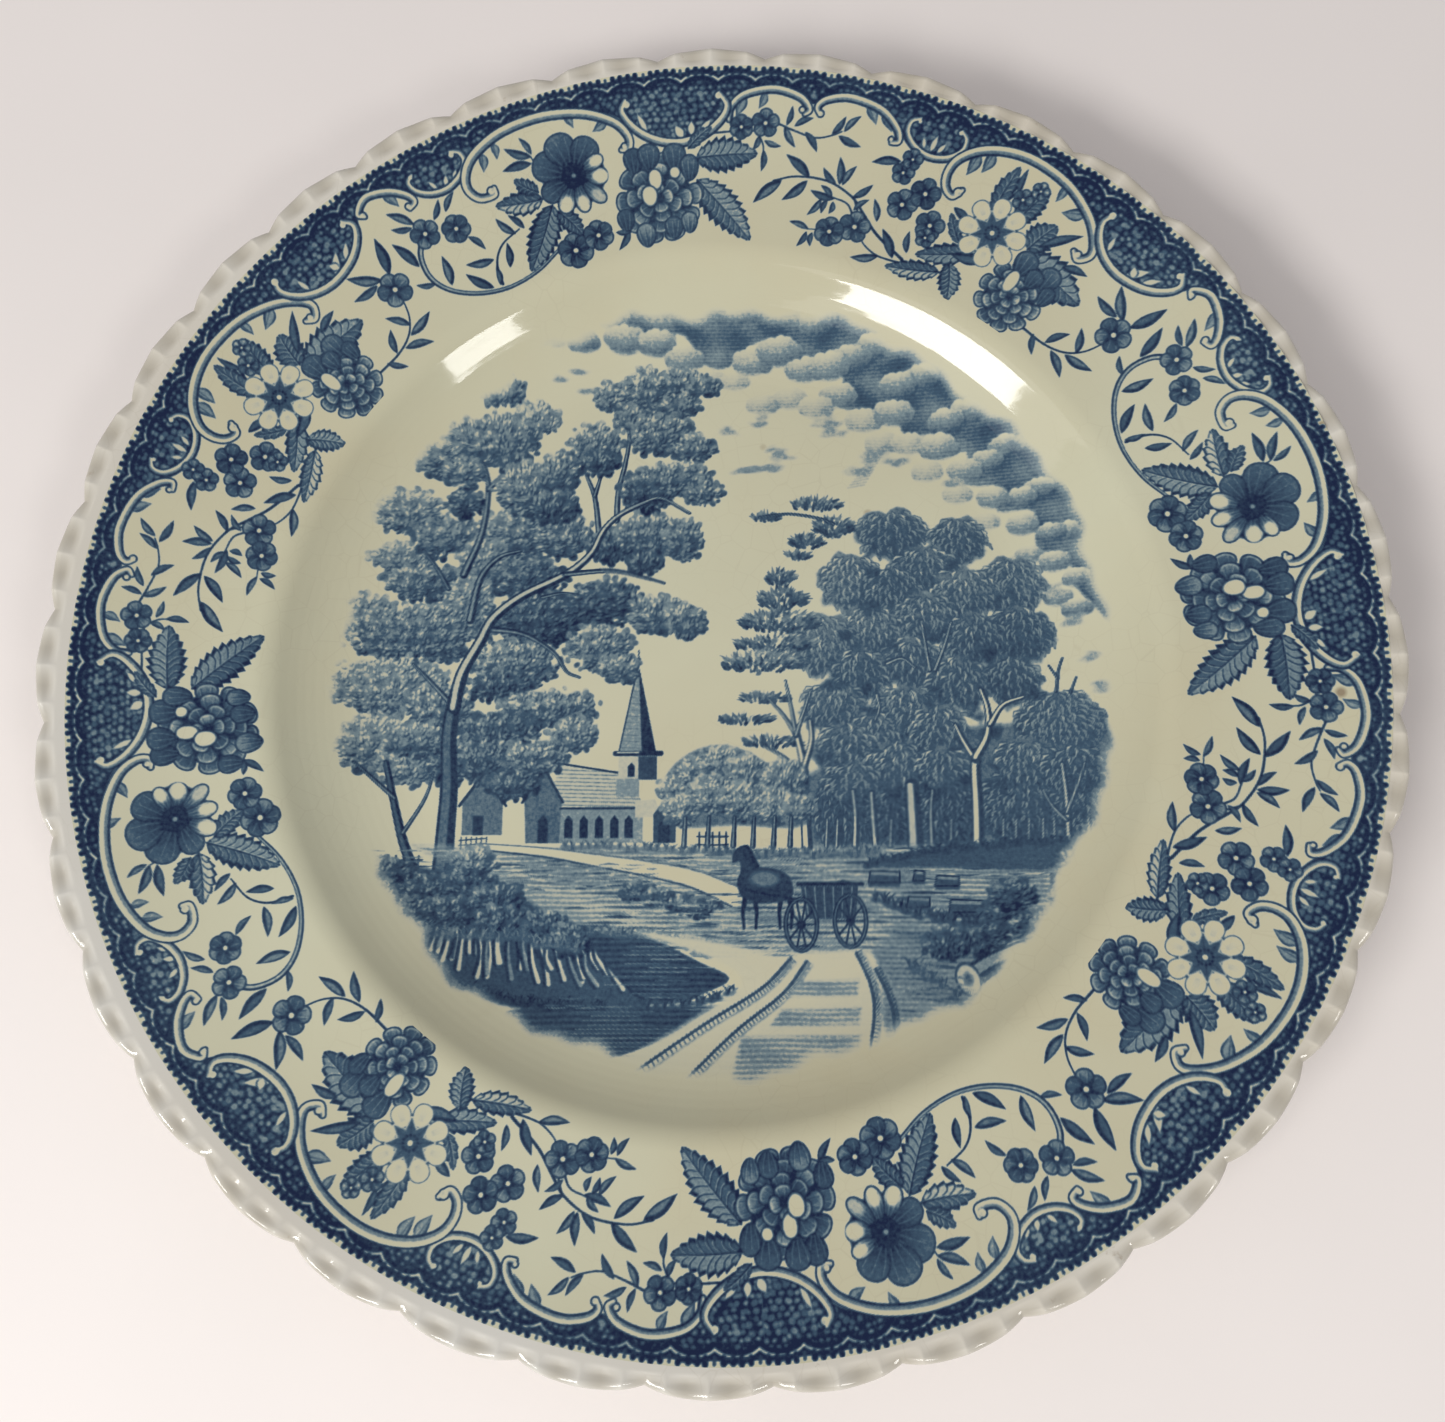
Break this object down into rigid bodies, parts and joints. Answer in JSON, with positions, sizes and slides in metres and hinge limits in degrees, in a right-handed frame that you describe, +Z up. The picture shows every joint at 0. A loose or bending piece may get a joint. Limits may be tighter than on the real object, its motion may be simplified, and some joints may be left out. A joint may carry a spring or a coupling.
{
  "type": "dinner plate",
  "caption": "Round earthenware dinner plate with a scalloped, fluted white edge, a wide rim, a shallow well, a foot ring and blue printed decoration under a clear glaze.",
  "frame": {"origin": "centre of the foot ring's resting plane", "axes": "+Z points up out of the well along the plate's axis; +Y points to the top of the printed scene; +X to its right"},
  "size_m": [0.255, 0.255, 0.026],
  "materials": {
    "earthenware_body": "matt porous biscuit",
    "border_print": "cobalt transfer print soaked into the biscuit",
    "scene_print": "cobalt transfer print soaked into the biscuit",
    "face_glaze": "clear glossy glaze, lightly crazed",
    "edge_glaze": "clear glossy glaze, stained brown at the valleys",
    "back_glaze": "clear glossy glaze",
    "foot_recess_glaze": "clear glossy glaze"
  },
  "bodies": {
    "root": {"earthenware_body": "earthenware_body", "border_print": "border_print", "scene_print": "scene_print", "face_glaze": "face_glaze", "edge_glaze": "edge_glaze", "back_glaze": "back_glaze", "foot_recess_glaze": "foot_recess_glaze"}
  },
  "joints": []
}
